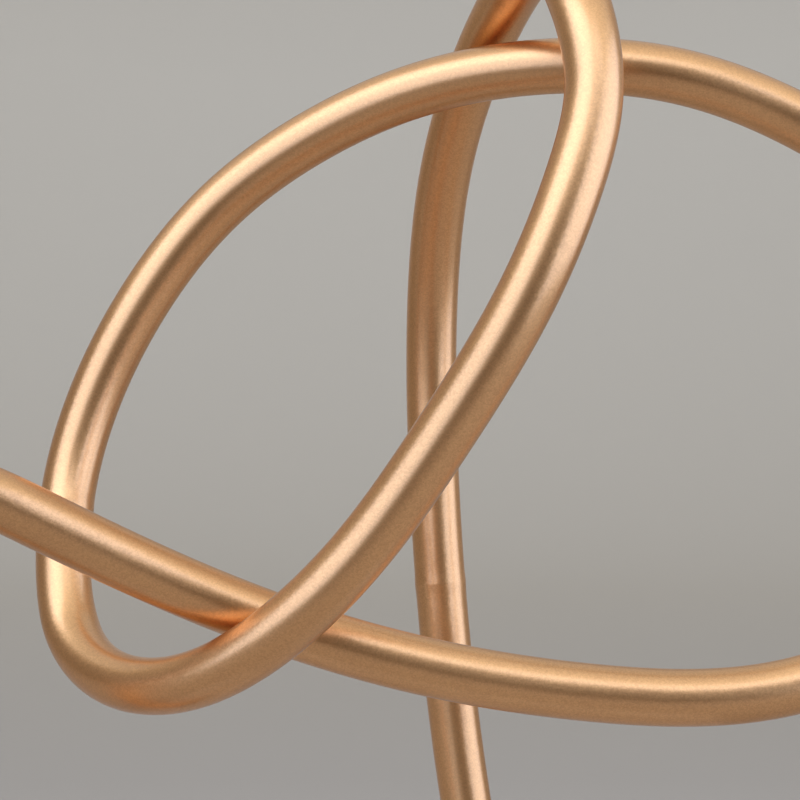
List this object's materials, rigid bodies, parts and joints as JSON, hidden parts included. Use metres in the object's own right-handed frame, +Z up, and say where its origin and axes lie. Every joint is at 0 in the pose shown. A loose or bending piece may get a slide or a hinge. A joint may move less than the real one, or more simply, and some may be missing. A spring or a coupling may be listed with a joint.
{
  "type": "abstract loop sculpture",
  "caption": "Abstract ornament: a satin gold tube bent into interlaced loops, its ends screwed into a grey marble block that stands on a rubber pad.",
  "frame": {"origin": "centre of the rubber pad's underside, on the surface that the sculpture stands on", "axes": "+Z up, +X to the right in the picture, -Y towards the viewer"},
  "size_m": [0.2215, 0.11, 0.2268],
  "materials": {
    "gold_lacquer": "satin metallic gold lacquer with fine flake",
    "grey_marble": "honed grey marble with white veins",
    "black_rubber": "matte black rubber sheet",
    "zinc_steel": "bright zinc-plated steel",
    "mill_steel": "plain turned steel"
  },
  "bodies": {
    "root": {"marble_base": "grey_marble", "base_pad": "black_rubber", "rear_leg_tube": "gold_lacquer", "rear_riser_tube": "gold_lacquer", "front_loop_tube": "gold_lacquer", "top_arch_tube": "gold_lacquer", "right_bow_tube": "gold_lacquer", "lower_sweep_tube": "gold_lacquer", "left_bow_tube": "gold_lacquer", "front_leg_tube": "gold_lacquer", "rear_leg_spigot": "mill_steel", "rear_riser_spigot": "mill_steel", "front_loop_spigot": "mill_steel", "top_arch_spigot": "mill_steel", "right_bow_spigot": "mill_steel", "lower_sweep_spigot": "mill_steel", "left_bow_spigot": "mill_steel", "rear_leg_plug": "mill_steel", "rear_leg_flat_washer": "zinc_steel", "rear_leg_lock_washer": "zinc_steel", "rear_leg_screw": "zinc_steel", "front_leg_plug": "mill_steel", "front_leg_flat_washer": "zinc_steel", "front_leg_lock_washer": "zinc_steel", "front_leg_screw": "zinc_steel"}
  },
  "joints": []
}
